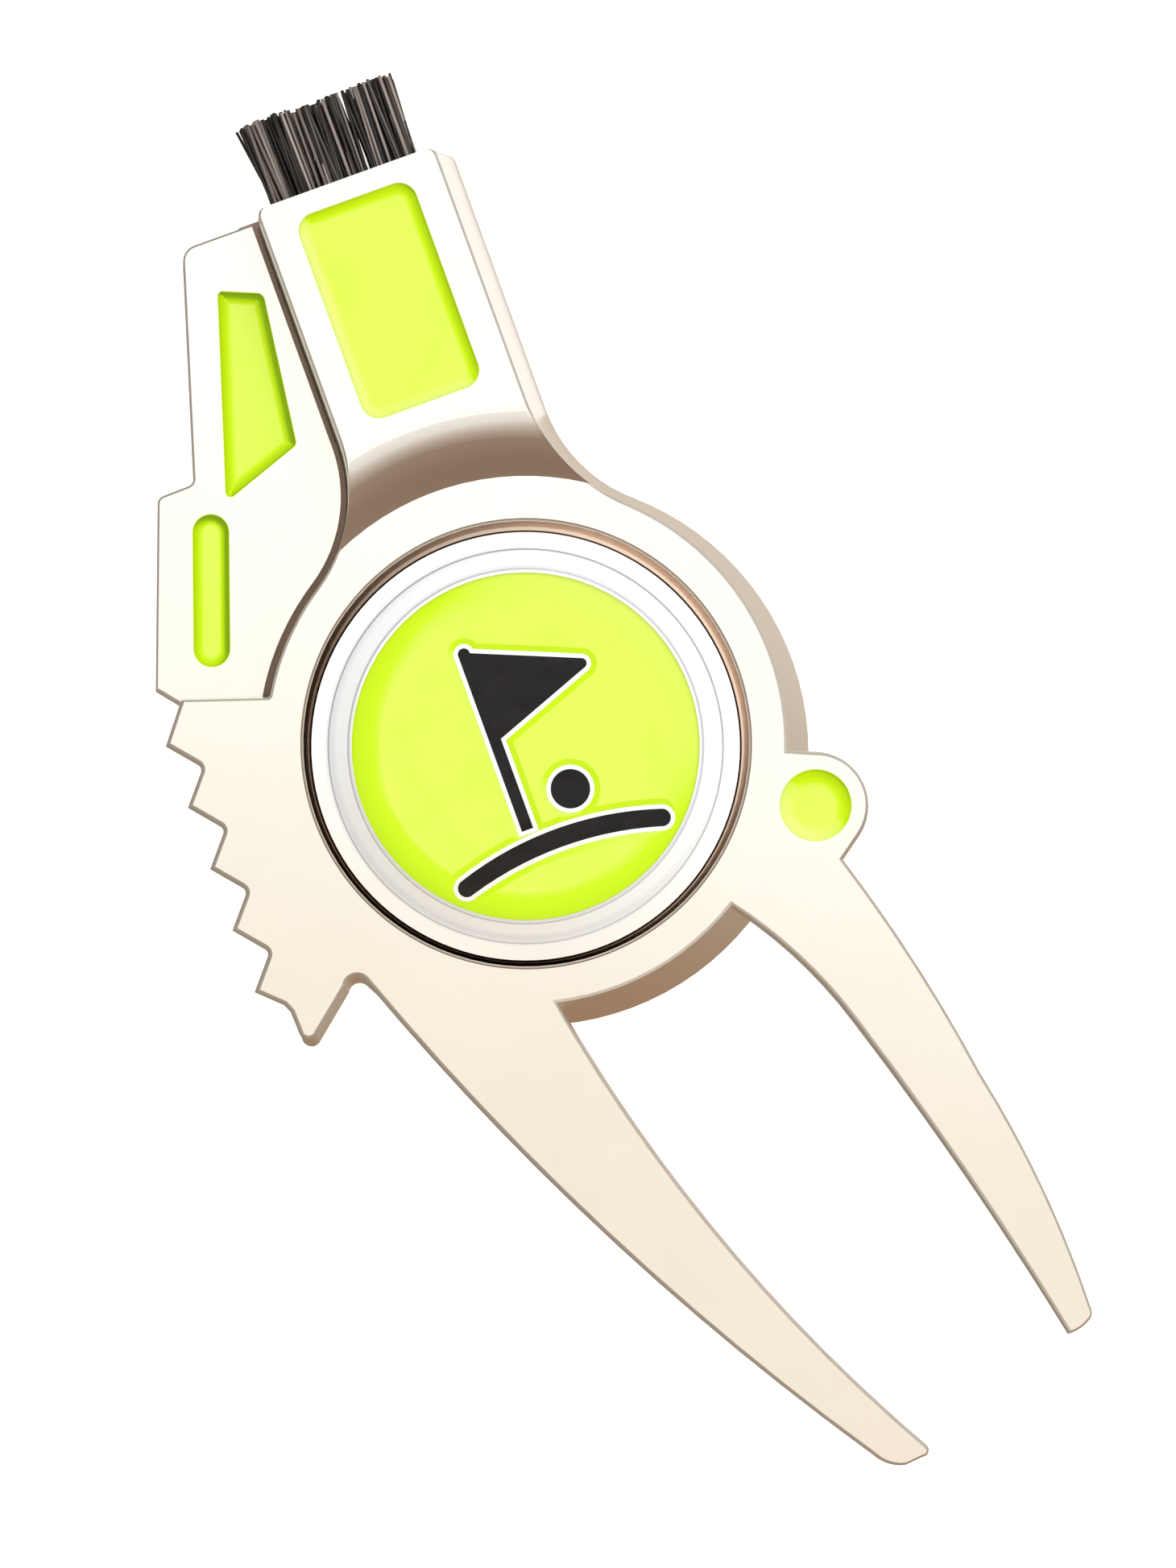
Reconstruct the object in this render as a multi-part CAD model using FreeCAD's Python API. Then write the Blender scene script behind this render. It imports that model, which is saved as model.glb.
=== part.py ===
import FreeCAD, Part
import math
import os

# Pocket golf tool with two prongs for lifting turf, a loose ball marker held by a magnet,
# a short brush that draws back into the neck, and an arm that folds out from beside the neck.
#
# Frame: millimetres. Origin on the flat back, under the centre of the marker's seat.
# +Z points out of the front face, +Y along the neck towards the brush, the prongs point to -Y.

os.makedirs("parts", exist_ok=True)

# Levels above the back
RING_TOP = 6.6
NECK_TOP = 8.0
PLATE_UNDERSIDE = 4.4
HOOK_UNDERSIDE = 2.5
SEAT_FLOOR = 4.5
EDGE_BEVEL = 0.13
PAST = 1.0
CUT_PAST = 0.2

# Limits of the outline arithmetic
SAME_POINT = 1e-6
MEETING_STEPS = 400
MEETING_ERROR = 1e-9

# Housing: the ring and the neck. Their walls spread towards the back, most on the side away from the arm
RING_R = 15.1
RING_SPREAD = 0.95
RING_SHIFT = 0.5
NECK_LEFT = -4.19
NECK_RIGHT = 6.76
NECK_END = 34.35
NECK_CORNER = 0.55
NECK_FLARE_LEFT = 0.2
NECK_FLARE_RIGHT = 1.2
FILLET_LEFT = 9.0
FILLET_RIGHT = 10.0
SADDLE_FOOT_R = 15.55
SADDLE_HEAD_R = 19.5
SADDLE_STEEPEST = math.radians(33)
SADDLE_FOOT_SLOPE = math.radians(27)

# Low ledge that closes the gap beside the arm from the back
LEDGE_REACH = 1.6
LEDGE_TOP = 1.0
LEDGE_FROM_X = -3.8

# Marker seat, marker and magnet
SEAT_R = 12.95
SEAT_FLOOR_R = 12.72
SEAT_BEVEL = 0.1
MARKER_R = 12.55
MARKER_TOP = 6.45
MARKER_REST_X = -0.08
MARKER_REST_Y = -0.13
MARKER_RIM_R = 11.5
MARKER_LIP_R = 10.26
MARKER_ENAMEL_R = 10.1
MARKER_FIELD_Z = 5.75
MARKER_ENAMEL_Z = 6.0
MARKER_EDGE = 0.25
MARKER_LINE_RISE = 0.12
MARKER_BEVEL = 0.12
MARKER_STEP = 0.1
MARKER_CLIMB = 0.24
MARKER_CLIMB_WIDE = 1.6
COLLAR_WIDE = 0.35
COLLAR_RISE = 0.09
MAGNET_R = 4.0
MAGNET_THICK = 2.1
RING_CORE_R = 11.4
RING_CORE_TOP = 3.0
MAGNET_BOSS_R = 5.6
MAGNET_GAP = 0.02

# Front plate: teeth, hook, boss and prongs
PLATE_FLARE = 0.15
HOOK_BLEND = 1.0
TOOTH_TIP_X = -19.55
TOOTH_ROOT_X = -17.94
TOOTH_ROOT_R = 0.5
TOOTH_PITCH = 3.8
TOOTH_FIRST_Y = 7.05
TOOTH_COUNT = 5
BOSS_X = 14.56
BOSS_Y = -9.1
PRONG_THIN_FROM_Y = -18.0
PRONG_TIP_Y = -46.9
PRONG_TIP_THICK = 1.3

# Back cover and its screws
COVER_THICK = 0.9
COVER_INSET = 0.6
COVER_GAP = 0.05
SCREW_SPOTS = [(-2.7, 17.3), (5.3, 17.3), (-8.0, -11.0), (8.0, -11.0)]
SCREW_R = 0.7
SCREW_HEAD_R = 1.25
SCREW_HEAD_LOW = 0.05
SCREW_HEAD_DEPTH = 0.6
SCREW_TIP = 3.2
DRIVE_WIDE = 0.3
DRIVE_DEEP = 0.4
DRIVE_REACH = 0.62

# Brush and its slide inside the neck
BRUSH_MID_X = 1.3
CHAMBER_HALF = 4.5
CHAMBER_START = 19.4
CHAMBER_TOP = 6.2
CARRIAGE_GAP = 0.1
CARRIAGE_BACK = 26.0
CARRIAGE_FRONT = 33.9
CARRIAGE_LOW = 1.2
CARRIAGE_TOP = 6.05
CARRIAGE_CORNER = 0.4
BRUSH_TRAVEL = 5.5
TUFT_COLUMNS = 6
TUFT_ROWS = 2
TUFT_R = 0.66
TUFT_PITCH = 1.5
TUFT_ROW_PITCH = 1.55
TUFT_DEPTH = 2.4
TUFT_FAN = 0.07
TUFT_TIP_Y = 39.3
TUFT_MID_Z = 4.2
STAPLE_WIDE = 1.42
STAPLE_THICK = 0.22
STAPLE_TALL = 0.9
BUTTON_WIDE = 3.8
BUTTON_LENGTH = 4.6
BUTTON_BACK = 27.6
BUTTON_LOW = 0.42
BUTTON_CORNER = 0.6
BUTTON_RIBS = 4
RIB_LOW = 0.12
RIB_THICK = 0.34
RIB_END_INSET = 0.35
RIB_SIDE_INSET = 0.4
BUTTON_SCREW_X = BRUSH_MID_X
BUTTON_SCREW_Y = BUTTON_BACK + 0.5 * BUTTON_LENGTH
BUTTON_SCREW_R = 0.45
BUTTON_SCREW_HEAD_R = 0.85
BUTTON_SCREW_HEAD_DEPTH = 0.4
BUTTON_SCREW_LOW = 0.45
BUTTON_SCREW_TIP = 3.2
BUTTON_DRIVE_DEEP = 0.25
SLOT_GAP = 0.15
SLOT_CORNER = 0.7
LEAF_WIDE = 2.6
LEAF_THICK = 0.25
LEAF_CHANNEL_TOP = 6.75
LEAF_CHANNEL_START = 18.2
LEAF_BUMP_Y = 27.2
LEAF_BUMP_HALF = 1.1
LEAF_TAIL = 0.6
LEAF_GAP = 0.03
LEAF_SIDE_GAP = 0.1
GROOVE_HALF = 0.7
GROOVE_DEEP = 0.3
OVER = 0.01

# Folding arm and its pivot
PIVOT_X = -15.8
PIVOT_Y = 5.9
ARM_LOW = 1.2
ARM_TOP = 4.2
ARM_CLEARANCE = 0.4
ARM_FLARE = 0.08
TANG_R = 2.1
PIVOT_RELIEF_R = 2.8
PIVOT_SHOULDER_R = 1.1
PIVOT_THREAD_R = 0.8
PIVOT_THREAD_TOP = 5.9
PIVOT_HEAD_R = 1.9
PIVOT_HEAD_LOW = 0.3
BUSH_R = 1.55
WASHER_THICK = 0.18
RUNNING_GAP = 0.04
PIVOT_SLOT_WIDE = 0.5
PIVOT_SLOT_DEEP = 0.35
PIVOT_HEAD_TOP = ARM_LOW - WASHER_THICK - 0.02

# Enamel pockets: how far the lip, the flat middle and the pocket's bottom lie below the metal, and how
# wide a border of each enamel climbs to its lip
ENAMEL_LIP = 0.08
ENAMEL_SINK = 0.45
ENAMEL_POCKET = 0.75
ENAMEL_STEPS = 6
ENAMEL_LEAST_CORNER = 0.06
NECK_ENAMEL_CLIMB = 0.7
WINDOW_CLIMB = 0.7
SLOT_CLIMB = 0.6
BOSS_CLIMB = 0.9
BOSS_ENAMEL_R = 2.1
SLOT_ENAMEL_R = 1.08


def vec(x, y, z=0.0):
    return FreeCAD.Vector(x, y, z)


def outline(start, steps):
    """Closed flat outline as runs (from, by way of, to). A step of one point is a straight run."""
    runs = []
    here = start
    for step in steps:
        middle = step[0] if len(step) == 2 else None
        runs.append((here, middle, step[-1]))
        here = step[-1]
    if math.dist(here, start) > SAME_POINT:
        runs.append((here, None, start))
    return runs


def rounding(before, corner, after, radius):
    """Two steps that replace a sharp corner: up to the bend, then round it with the given radius."""
    back_length = math.dist(before, corner)
    on_length = math.dist(after, corner)
    back = ((before[0] - corner[0]) / back_length, (before[1] - corner[1]) / back_length)
    onward = ((after[0] - corner[0]) / on_length, (after[1] - corner[1]) / on_length)
    half = 0.5 * math.acos(back[0] * onward[0] + back[1] * onward[1])
    reach = radius / math.tan(half)
    inset = radius / math.sin(half) - radius
    middle_x = back[0] + onward[0]
    middle_y = back[1] + onward[1]
    size = math.hypot(middle_x, middle_y)
    enter = (corner[0] + back[0] * reach, corner[1] + back[1] * reach)
    middle = (corner[0] + middle_x / size * inset, corner[1] + middle_y / size * inset)
    leave = (corner[0] + onward[0] * reach, corner[1] + onward[1] * reach)
    return [(enter,), (middle, leave)]


def rounded_polygon(corners):
    """Outline through corners (x, y, radius), where a radius of 0 leaves the corner sharp."""
    steps = []
    for count, (x, y, radius) in enumerate(corners):
        before = corners[count - 1][:2]
        after = corners[(count + 1) % len(corners)][:2]
        if radius:
            steps += rounding(before, (x, y), after, radius)
        else:
            steps.append(((x, y),))
    return outline(steps[-1][-1], steps)


def circle_through(a, b, c):
    """Centre and radius of the circle through three points, and +1 where they turn left."""
    bx, by = b[0] - a[0], b[1] - a[1]
    cx, cy = c[0] - a[0], c[1] - a[1]
    cross = bx * cy - by * cx
    b_square = bx * bx + by * by
    c_square = cx * cx + cy * cy
    ux = (cy * b_square - by * c_square) / (2 * cross)
    uy = (bx * c_square - cx * b_square) / (2 * cross)
    return (a[0] + ux, a[1] + uy), math.hypot(ux, uy), math.copysign(1, cross)


def winding(runs):
    """+1 for an outline that runs anticlockwise."""
    points = []
    for start, middle, _end in runs:
        points.append(start)
        if middle:
            points.append(middle)
    area = 0.0
    for count, (x, y) in enumerate(points):
        after_x, after_y = points[(count + 1) % len(points)]
        area += x * after_y - after_x * y
    return math.copysign(1, area)


def moved_curve(run, amount, side):
    """The run's line (point, direction) or circle (centre, radius), moved outwards."""
    start, middle, end = run
    if middle:
        centre, radius, turn = circle_through(start, middle, end)
        return ("circle", centre, radius + amount * turn * side)
    length = math.dist(start, end)
    dx = (end[0] - start[0]) / length
    dy = (end[1] - start[1]) / length
    return ("line", (start[0] + dy * side * amount, start[1] - dx * side * amount), (dx, dy))


def foot_on(curve, point):
    """The nearest point of a line or circle."""
    kind, base, size = curve
    if kind == "line":
        along = (point[0] - base[0]) * size[0] + (point[1] - base[1]) * size[1]
        return (base[0] + along * size[0], base[1] + along * size[1])
    reach = math.dist(point, base)
    return (base[0] + (point[0] - base[0]) * size / reach, base[1] + (point[1] - base[1]) * size / reach)


def meeting(first, second, near):
    """Where two moved curves cross near a corner, found by stepping from one to the other."""
    guess = near
    for _step in range(MEETING_STEPS):
        on_first = foot_on(first, guess)
        on_second = foot_on(second, on_first)
        if math.dist(on_first, on_second) < MEETING_ERROR:
            return on_second
        guess = on_second
    return (0.5 * (on_first[0] + on_second[0]), 0.5 * (on_first[1] + on_second[1]))


def grown(runs, amount):
    """The outline moved outwards by amount, or inwards where it is negative."""
    if abs(amount) < SAME_POINT:
        return runs
    side = winding(runs)
    curves = [moved_curve(run, amount, side) for run in runs]
    corners = [meeting(curves[count - 1], curves[count], runs[count][0]) for count in range(len(runs))]
    result = []
    for count, (_start, middle, _end) in enumerate(runs):
        start = corners[count]
        end = corners[(count + 1) % len(runs)]
        if middle:
            middle = foot_on(curves[count], middle)
        result.append((start, middle, end))
    return result


def wire_of(runs, z=0.0):
    edges = []
    for start, middle, end in runs:
        if middle:
            edges.append(Part.Arc(vec(*start, z), vec(*middle, z), vec(*end, z)).toShape())
        else:
            edges.append(Part.LineSegment(vec(*start, z), vec(*end, z)).toShape())
    return Part.Wire(edges)


def prism(runs, low, high):
    return Part.Face(wire_of(runs, low)).extrude(vec(0, 0, high - low))


def loft(sections):
    """Ruled solid through (outline, z) sections."""
    return Part.makeLoft([wire_of(runs, z) for runs, z in sections], True, True)


def drafted(wire, low, high, flare, bevel=EDGE_BEVEL):
    """Plate with walls that spread by flare towards its back and a bevelled front edge."""
    return loft([
        (grown(wire, flare), low),
        (wire, high - bevel),
        (grown(wire, -bevel), high),
    ])


def disc(x, y, radius, low, high):
    return Part.makeCylinder(radius, high - low, vec(x, y, low))


def block(x_low, x_high, y_low, y_high, z_low, z_high):
    return Part.makeBox(x_high - x_low, y_high - y_low, z_high - z_low, vec(x_low, y_low, z_low))


def arc_middle(centre, radius, start, end):
    """Middle of the shorter arc between two points of a circle."""
    dx = start[0] + end[0] - 2 * centre[0]
    dy = start[1] + end[1] - 2 * centre[1]
    size = math.hypot(dx, dy)
    return (centre[0] + dx / size * radius, centre[1] + dy / size * radius)


def neck_fillet(ring_centre, ring_r, wall_x, outward, radius):
    """Hollow fillet from the ring to the neck's wall, as its foot, middle and head."""
    x = wall_x + outward * radius
    apart = ring_r + radius
    y = ring_centre[1] + math.sqrt(apart ** 2 - (x - ring_centre[0]) ** 2)
    share = ring_r / apart
    foot = (ring_centre[0] + share * (x - ring_centre[0]), ring_centre[1] + share * (y - ring_centre[1]))
    head = (wall_x, y)
    return foot, arc_middle((x, y), radius, foot, head), head


def housing_wire(ring_share, neck_share, ring_extra=0.0, neck_extra=0.0):
    """Ring and neck outline at a share of their full spread, from 0 in front to 1 at the back."""
    centre = (RING_SHIFT * ring_share, -RING_SHIFT * ring_share)
    radius = RING_R + RING_SPREAD * ring_share + ring_extra
    left_spread = NECK_FLARE_LEFT * neck_share + neck_extra
    right_spread = NECK_FLARE_RIGHT * neck_share + neck_extra
    left = NECK_LEFT - left_spread
    right = NECK_RIGHT + right_spread
    left_foot, left_mid, left_head = neck_fillet(centre, radius, left, -1, FILLET_LEFT - left_spread)
    right_foot, right_mid, right_head = neck_fillet(centre, radius, right, 1, FILLET_RIGHT - right_spread)
    end = NECK_END
    corner = NECK_CORNER
    bulge = corner * (1 - math.sqrt(0.5))
    return outline(left_foot, [
        ((centre[0], centre[1] - radius), right_foot),
        (right_mid, right_head),
        ((right, end - corner),),
        ((right - bulge, end - bulge), (right - corner, end)),
        ((left + corner, end),),
        ((left + bulge, end - bulge), (left, end - corner)),
        (left_head,),
        (left_mid, left_foot),
    ])


def share_below(top, z):
    return (top - z) / top


def housing_section(z, clearance=0.0):
    return (housing_wire(share_below(RING_TOP, z), share_below(NECK_TOP, z), clearance, clearance), z)


def housing_block(clearance=0.0):
    """Solid ring and neck up to the top of the ring, or the room they need with a clearance."""
    if clearance > 0:
        return loft([housing_section(0, clearance), housing_section(RING_TOP, clearance)])
    shoulder = RING_TOP - EDGE_BEVEL
    top = housing_wire(0, share_below(NECK_TOP, RING_TOP), ring_extra=-EDGE_BEVEL)
    return loft([housing_section(0), housing_section(shoulder), (top, RING_TOP)])


def saddle_cutter():
    """Turned shape above the ring. It leaves a slope up to the neck's plateau, rounded at its head and
    hollow at its foot."""
    run = SADDLE_HEAD_R - SADDLE_FOOT_R
    rise = NECK_TOP - RING_TOP
    head_rate = math.tan(0.5 * SADDLE_STEEPEST)
    foot_rate = math.tan(0.5 * (SADDLE_STEEPEST + SADDLE_FOOT_SLOPE))
    foot_run = (rise - run * head_rate) / (foot_rate - head_rate)
    bend_r = SADDLE_FOOT_R + foot_run
    bend_z = RING_TOP + foot_run * foot_rate
    head_radius = (run - foot_run) / math.sin(SADDLE_STEEPEST)
    foot_radius = foot_run / (math.sin(SADDLE_STEEPEST) - math.sin(SADDLE_FOOT_SLOPE))
    head_mid = 0.5 * SADDLE_STEEPEST
    foot_mid = 0.5 * (SADDLE_STEEPEST + SADDLE_FOOT_SLOPE)
    top = NECK_TOP + PAST
    foot = vec(SADDLE_FOOT_R, 0, RING_TOP)
    foot_way = vec(SADDLE_FOOT_R + foot_radius * (math.sin(foot_mid) - math.sin(SADDLE_FOOT_SLOPE)), 0,
                   RING_TOP + foot_radius * (math.cos(SADDLE_FOOT_SLOPE) - math.cos(foot_mid)))
    bend = vec(bend_r, 0, bend_z)
    head_way = vec(SADDLE_HEAD_R - head_radius * math.sin(head_mid), 0,
                   NECK_TOP - head_radius * (1 - math.cos(head_mid)))
    head = vec(SADDLE_HEAD_R, 0, NECK_TOP)
    profile = Part.Wire([
        Part.LineSegment(vec(0, 0, RING_TOP), foot).toShape(),
        Part.Arc(foot, foot_way, bend).toShape(),
        Part.Arc(bend, head_way, head).toShape(),
        Part.LineSegment(head, vec(SADDLE_HEAD_R, 0, top)).toShape(),
        Part.LineSegment(vec(SADDLE_HEAD_R, 0, top), vec(0, 0, top)).toShape(),
        Part.LineSegment(vec(0, 0, top), vec(0, 0, RING_TOP)).toShape(),
    ])
    return Part.Face(profile).revolve(vec(0, 0, 0), vec(0, 0, 1), 360)


def neck_plateau():
    shoulder = NECK_TOP - EDGE_BEVEL
    raised_neck = loft([
        (housing_wire(0, share_below(NECK_TOP, RING_TOP)), RING_TOP),
        (housing_wire(0, share_below(NECK_TOP, shoulder)), shoulder),
        (housing_wire(0, 0, neck_extra=-EDGE_BEVEL), NECK_TOP),
    ])
    return raised_neck.cut(saddle_cutter())


def plate_wire():
    """Front plate: seam edge, teeth, hook, left prong, the gap, right prong and boss."""
    steps = [((-17.87, 9.17),)]
    for count in range(TOOTH_COUNT):
        tip = (TOOTH_TIP_X, TOOTH_FIRST_Y - count * TOOTH_PITCH)
        steps.append((tip,))
        if count < TOOTH_COUNT - 1:
            root = (TOOTH_ROOT_X, tip[1] - 0.5 * TOOTH_PITCH)
            steps += rounding(tip, root, (TOOTH_TIP_X, tip[1] - TOOTH_PITCH), TOOTH_ROOT_R)
    steps += [
        ((-18.26, -9.38),),
        ((-18.02, -9.95),),
        ((-17.98, -11.23),),
        ((-17.78, -11.68), (-17.2, -11.64)),
        ((-14.73, -9.62),),
        ((-13.94, -9.2), (-13.35, -9.65)),
        ((-4.25, -30.3), (4.88, -45.6)),
        ((5.55, -46.4), (6.4, -46.8)),
        ((7.5, -46.7),),
        ((7.87, -46.55), (7.87, -46.2)),
        ((0.95, -31.3), (-3.5, -14.69)),
        ((2.33, -14.92), (8.0, -12.81)),
        ((10.05, -15.9), (12.5, -21.6)),
        ((15.3, -31.4), (17.95, -42.9)),
        ((18.6, -42.85), (19.2, -42.6)),
        ((19.5, -42.35), (19.58, -41.9)),
        ((19.3, -34.0), (18.2, -27.0)),
        ((16.85, -19.7), (14.92, -12.56)),
        ((16.35, -11.53),),
        ((17.6, -9.1), (15.5, -6.21)),
        ((14.1, -5.6),),
        ((11.5, -4.5),),
        ((11.5, 6.0),),
        ((-11.0, 8.4),),
    ]
    return outline((-13.17, 7.59), steps)


def hook_wire():
    """Deeper metal behind the hook and its notch, where it joins the front plate."""
    return outline((-13.2, -6.8), [
        ((-17.6, -8.9),),
        ((-18.06, -9.95),),
        ((-17.98, -11.23),),
        ((-17.78, -11.68), (-17.2, -11.64)),
        ((-14.73, -9.62),),
        ((-13.94, -9.2), (-13.35, -9.65)),
        ((-12.3, -12.3),),
        ((-9.5, -11.7),),
    ])


def hook_back_wire():
    """The same metal at its underside, which reaches further down and fades out along the prong."""
    return outline((-13.2, -6.8), [
        ((-17.75, -9.05),),
        ((-18.2, -10.1),),
        ((-18.1, -11.6),),
        ((-17.85, -12.2), (-17.1, -12.1)),
        ((-14.62, -10.05),),
        ((-13.97, -9.7), (-13.45, -10.1)),
        ((-11.6, -13.6),),
        ((-9.5, -11.7),),
    ])


def hook_back():
    return loft([(hook_back_wire(), HOOK_UNDERSIDE), (hook_wire(), RING_TOP - HOOK_BLEND)])


def prong_thinner():
    """Wedge under the prongs that takes their backs away towards the tips."""
    tip_z = RING_TOP - PRONG_TIP_THICK
    slope = (tip_z - PLATE_UNDERSIDE) / (PRONG_THIN_FROM_Y - PRONG_TIP_Y)
    end_y = PRONG_TIP_Y - PAST
    half = 2 * RING_R
    low = PLATE_UNDERSIDE - PAST
    side = Part.makePolygon([
        vec(-half, PRONG_THIN_FROM_Y, low),
        vec(-half, PRONG_THIN_FROM_Y, PLATE_UNDERSIDE),
        vec(-half, end_y, tip_z + slope * PAST),
        vec(-half, end_y, low),
        vec(-half, PRONG_THIN_FROM_Y, low),
    ])
    return Part.Face(side).extrude(vec(2 * half, 0, 0))


def front_plate():
    plate = drafted(plate_wire(), PLATE_UNDERSIDE, RING_TOP, PLATE_FLARE)
    return plate.cut(prong_thinner())


def pivot_relief():
    """Round pocket in the side of the ring where the arm's tang turns."""
    return disc(PIVOT_X, PIVOT_Y, PIVOT_RELIEF_R, -PAST, PLATE_UNDERSIDE)


def arm_ledge():
    """Low ledge along the neck and the ring, behind the gap beside the arm."""
    ledge = prism(housing_wire(0, 0, LEDGE_REACH, LEDGE_REACH), 0, LEDGE_TOP)
    side = block(-2 * RING_R, LEDGE_FROM_X, PIVOT_Y, NECK_END, 0, LEDGE_TOP)
    return ledge.common(side)


def cover_wire(inset):
    """Outline of the back cover, set in from the housing's back edge."""
    return housing_wire(1, 1, -inset, -inset)


def inset_corners(corners, amount):
    """Polygon corners (x, y, radius), anticlockwise, with every side moved inwards."""
    moved = []
    for count, (x, y, radius) in enumerate(corners):
        before = corners[count - 1]
        after = corners[(count + 1) % len(corners)]
        in_length = math.dist(before[:2], (x, y))
        out_length = math.dist(after[:2], (x, y))
        in_normal = ((before[1] - y) / in_length, (x - before[0]) / in_length)
        out_normal = ((y - after[1]) / out_length, (after[0] - x) / out_length)
        share = amount / (1 + in_normal[0] * out_normal[0] + in_normal[1] * out_normal[1])
        moved.append((x + share * (in_normal[0] + out_normal[0]), y + share * (in_normal[1] + out_normal[1]),
                      max(radius - amount, ENAMEL_LEAST_CORNER)))
    return moved


def rectangle_corners(x_low, x_high, y_low, y_high, radius):
    spots = [(x_low, y_low), (x_high, y_low), (x_high, y_high), (x_low, y_high)]
    return [(x, y, radius) for x, y in spots]


def rounded_rectangle(x_low, x_high, y_low, y_high, radius):
    return rounded_polygon(rectangle_corners(x_low, x_high, y_low, y_high, radius))


def circle_wire(x, y, radius):
    return outline((x + radius, y), [((x, y + radius), (x - radius, y)), ((x, y - radius), (x + radius, y))])


def neck_enamel_wire(inset=0.0):
    return rounded_polygon(inset_corners(rectangle_corners(-2.35, 4.87, 20.5, 33.1, 1.1), inset))


def boss_enamel_wire(inset=0.0):
    return circle_wire(BOSS_X, BOSS_Y, BOSS_ENAMEL_R - inset)


def long_enamel_wire(inset=0.0):
    """Four-sided window in the arm, narrow at the top."""
    corners = [(-11.62, 19.22, 0.32), (-6.55, 21.0, 0.4), (-5.36, 30.0, 0.5), (-7.86, 31.05, 0.3)]
    return rounded_polygon(inset_corners(corners, inset))


def slot_enamel_wire(inset=0.0):
    """Round-ended window in the arm, in line with the arm's outer edge."""
    low = (-15.27, 11.5)
    high = (-13.02, 17.9)
    radius = SLOT_ENAMEL_R - inset
    length = math.dist(low, high)
    end = (radius * (high[0] - low[0]) / length, radius * (high[1] - low[1]) / length)
    aside = (end[1], -end[0])
    return outline((low[0] + aside[0], low[1] + aside[1]), [
        ((high[0] + aside[0], high[1] + aside[1]),),
        ((high[0] + end[0], high[1] + end[1]), (high[0] - aside[0], high[1] - aside[1])),
        ((low[0] - aside[0], low[1] - aside[1]),),
        ((low[0] - end[0], low[1] - end[1]), (low[0] + aside[0], low[1] + aside[1])),
    ])


def enamel_pocket(wire, metal_top):
    return prism(wire, metal_top - ENAMEL_POCKET, metal_top + PAST)


def enamel_tray(window, metal_top, climb_wide):
    """Enamel that fills its pocket. Its border climbs the walls in a hollow curve round a flat middle."""
    lip = metal_top - ENAMEL_LIP
    middle = metal_top - ENAMEL_SINK
    sections = []
    for step in range(ENAMEL_STEPS + 1):
        share = step / ENAMEL_STEPS
        inset = max(climb_wide * (1 - share), RUNNING_GAP)
        sections.append((window(inset), middle + (lip - middle) * share ** 2))
    sections.append((window(RUNNING_GAP), lip + PAST))
    return prism(window(), metal_top - ENAMEL_POCKET, lip).cut(loft(sections))


def screw_shape(x, y, head_low, head_r, head_depth, shank_r, tip, drive_deep):
    """Countersunk screw driven in from the back, with a cross recess."""
    head = Part.makeCone(head_r, shank_r, head_depth, vec(x, y, head_low))
    shank = disc(x, y, shank_r, head_low + head_depth, tip)
    body = head.fuse(shank)
    half = 0.5 * DRIVE_WIDE
    reach = DRIVE_REACH * head_r
    low = head_low - PAST
    high = head_low + drive_deep
    body = body.cut(block(x - reach, x + reach, y - half, y + half, low, high))
    return body.cut(block(x - half, x + half, y - reach, y + reach, low, high))


def screw_hole(x, y, head_low, head_r, head_depth, shank_r, tip):
    head = Part.makeCone(head_r, shank_r, head_depth, vec(x, y, head_low))
    mouth = disc(x, y, head_r, head_low - PAST, head_low)
    shank = disc(x, y, shank_r, head_low + head_depth, tip + CUT_PAST)
    return head.fuse(mouth).fuse(shank)


def cover_screws():
    return Part.makeCompound([
        screw_shape(x, y, SCREW_HEAD_LOW, SCREW_HEAD_R, SCREW_HEAD_DEPTH, SCREW_R, SCREW_TIP, DRIVE_DEEP)
        for x, y in SCREW_SPOTS
    ])


def chamber():
    """Space in the neck where the brush slides, open at the neck's end and at the back."""
    return block(BRUSH_MID_X - CHAMBER_HALF, BRUSH_MID_X + CHAMBER_HALF,
                 CHAMBER_START, NECK_END + PAST, 0, CHAMBER_TOP)


def leaf_channel():
    half = 0.5 * LEAF_WIDE + LEAF_SIDE_GAP
    return block(BRUSH_MID_X - half, BRUSH_MID_X + half, LEAF_CHANNEL_START, LEAF_BUMP_Y + 2 * LEAF_BUMP_HALF,
                 CHAMBER_TOP - OVER, LEAF_CHANNEL_TOP)


def brush_detent_spring():
    """Flat spring along the roof of the chamber. Its bump rides on the carriage's two grooves."""
    upper = LEAF_CHANNEL_TOP - LEAF_GAP
    lower = upper - LEAF_THICK
    drop = lower - CARRIAGE_TOP - RUNNING_GAP
    x = BRUSH_MID_X - 0.5 * LEAF_WIDE
    line = [
        (LEAF_CHANNEL_START + LEAF_GAP, 0.0),
        (LEAF_BUMP_Y - LEAF_BUMP_HALF, 0.0),
        (LEAF_BUMP_Y, drop),
        (LEAF_BUMP_Y + LEAF_BUMP_HALF, 0.0),
        (LEAF_BUMP_Y + LEAF_BUMP_HALF + LEAF_TAIL, 0.0),
    ]
    under = [vec(x, y, lower - down) for y, down in line]
    over = [vec(x, y, upper - down) for y, down in reversed(line)]
    side = Part.Face(Part.makePolygon(under + over + [under[0]]))
    return side.extrude(vec(LEAF_WIDE, 0, 0))


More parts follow.
